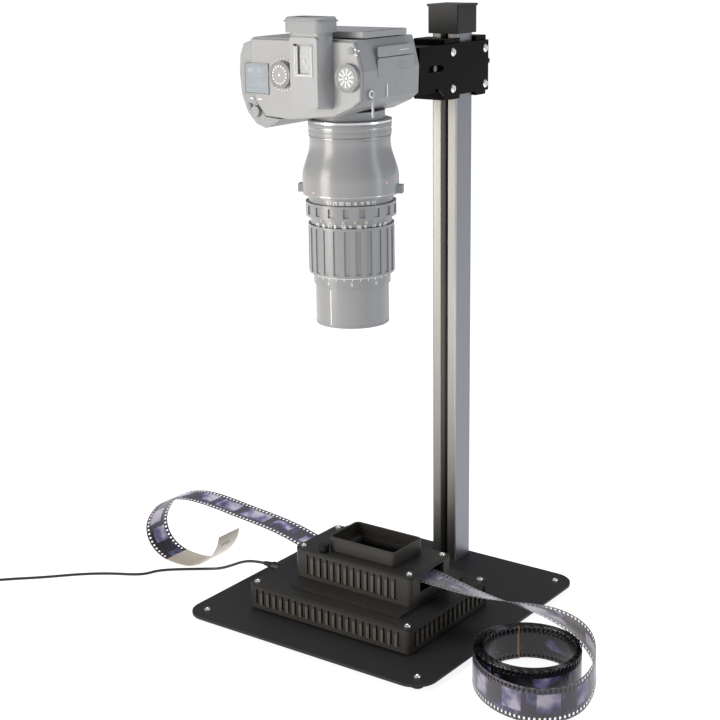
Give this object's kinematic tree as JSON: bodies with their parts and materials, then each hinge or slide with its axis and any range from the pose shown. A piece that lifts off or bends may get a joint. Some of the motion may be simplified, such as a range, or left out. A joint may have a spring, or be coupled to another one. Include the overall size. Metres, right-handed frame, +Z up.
{
  "type": "film digitising copy stand",
  "caption": "Copy stand with T-slot column, height-adjustable camera carriage, camera and macro lens pointing down, LED light and roll film carrier.",
  "frame": {"origin": "middle of the base plate at table level, where the feet stand", "axes": "+Z up, normal of the base plate; +X right along the front edge; +Y back towards the column"},
  "size_m": [0.7091, 0.4831, 0.6178],
  "materials": {
    "black_plate": "fine texture powder coat",
    "rubber": "matt",
    "screw": "machined",
    "alu": "anodised satin",
    "cap_black": "semi gloss",
    "case_black": "satin",
    "opal": "opal",
    "board": "solder mask",
    "knob_black": "matt",
    "film": "glossy base",
    "arm_black": "black anodised",
    "pad_white": "low friction",
    "camera_grey": "fine grain, pale",
    "camera_rubber": "leather grain, pale",
    "shoe_metal": "satin",
    "glass": "coated",
    "lens_grey": "satin, pale",
    "lead_black": "soft"
  },
  "bodies": {
    "stand": {"base_plate": "black_plate", "rubber_feet": "rubber", "foot_screws": "screw", "column": "alu", "column_bolt": "screw", "column_cap": "cap_black", "light_case": "case_black", "light_cover": "case_black", "light_diffuser": "opal", "led_board": "board", "light_screws": "screw", "dc_jack": "case_black", "carrier_plate": "case_black", "carrier_case": "case_black", "carrier_lid": "case_black", "gate_lower": "case_black", "gate_upper": "case_black", "roller_axles": "screw", "hood_frame": "case_black", "carrier_screws": "screw", "film_left": "film", "film_right": "film", "film_coil": "film", "lead_plug": "lead_black", "lead_run": "lead_black", "lead_coil": "lead_black", "lead_connector": "lead_black"},
    "film_roller_left": {"roller_left": "alu"},
    "film_roller_right": {"roller_right": "alu"},
    "carrier_knob_turn": {"carrier_knob": "knob_black"},
    "carriage": {"side_plate_right": "arm_black", "side_plate_left": "arm_black", "front_block": "arm_black", "rear_block": "arm_black", "side_screws": "screw", "glide_pads": "pad_white"},
    "lock_knob": {"lock_knob": "knob_black"},
    "camera_unit": {"camera_arm": "arm_black", "arm_bolt": "screw", "camera_screw": "screw", "camera_body": "camera_grey", "camera_top": "camera_grey", "camera_grip": "camera_rubber", "viewfinder_hump": "camera_grey", "hot_shoe": "shoe_metal", "eyecup": "camera_rubber", "eyepiece_glass": "glass", "top_display": "glass", "strap_lugs": "shoe_metal", "mount_adapter": "lens_grey", "lens_core": "lens_grey"},
    "screen": {"monitor": "camera_grey", "monitor_glass": "glass"},
    "right_dial": {"iso_dial": "camera_grey"},
    "left_dial": {"shutter_dial": "camera_grey"},
    "release": {"shutter_button": "shoe_metal"},
    "aperture": {"aperture_ring": "lens_grey"},
    "focus": {"focus_ring": "camera_rubber"},
    "barrel": {"front_barrel": "lens_grey", "front_element": "glass"}
  },
  "joints": [
    {"name": "carriage_height", "type": "slide", "parent": "stand", "child": "carriage", "axis": [0, 0, 1], "range_m": [-0.21, 0.003]},
    {"name": "lock_knob_turn", "type": "hinge", "parent": "carriage", "child": "lock_knob", "pos_m": [0, 0.176, 0.557], "axis": [0, 1, 0], "range_deg": [-360, 0]},
    {"name": "camera_arm_reach", "type": "slide", "parent": "carriage", "child": "camera_unit", "axis": [0, 1, 0], "range_m": [-0.01, 0.01]},
    {"name": "screen_tilt", "type": "hinge", "parent": "camera_unit", "child": "screen", "pos_m": [0, -0.0034, 0.597], "axis": [-1, 0, 0], "range_deg": [0, 80]},
    {"name": "right_dial_turn", "type": "hinge", "parent": "camera_unit", "child": "right_dial", "pos_m": [0.0285, -0.09, 0.5615], "axis": [0, 1, 0], "continuous": true},
    {"name": "left_dial_turn", "type": "hinge", "parent": "camera_unit", "child": "left_dial", "pos_m": [-0.0485, -0.09, 0.5615], "axis": [0, 1, 0], "continuous": true},
    {"name": "shutter_press", "type": "slide", "parent": "camera_unit", "child": "release", "axis": [0, 1, 0], "range_m": [0, 0.0013], "stiffness_N_per_m": 900, "springref_m": -0.0012},
    {"name": "aperture_turn", "type": "hinge", "parent": "camera_unit", "child": "aperture", "pos_m": [-0.0095, -0.0358, 0.432], "axis": [0, 0, 1], "range_deg": [-35, 35]},
    {"name": "focus_turn", "type": "hinge", "parent": "camera_unit", "child": "focus", "pos_m": [-0.0095, -0.0358, 0.393], "axis": [0, 0, 1], "range_deg": [0, 270]},
    {"name": "barrel_extend", "type": "slide", "parent": "camera_unit", "child": "barrel", "axis": [0, 0, 1], "range_m": [0, 0.03], "stiffness_N_per_m": 40, "springref_m": 0.05},
    {"name": "carrier_knob_spin", "type": "hinge", "parent": "stand", "child": "carrier_knob_turn", "pos_m": [-0.03325, -0.0599, 0.077], "axis": [0, 0, 1], "range_deg": [-90, 0]},
    {"name": "roller_left_spin", "type": "hinge", "parent": "stand", "child": "film_roller_left", "pos_m": [-0.055, -0.0295, 0.0572], "axis": [0, 1, 0], "continuous": true},
    {"name": "roller_right_spin", "type": "hinge", "parent": "stand", "child": "film_roller_right", "pos_m": [0.069, -0.0295, 0.0572], "axis": [0, 1, 0], "continuous": true}
  ],
  "couplings": [
    {"joint": "barrel_extend", "follows": "focus_turn", "m_per_rad": 0.0063662}
  ]
}
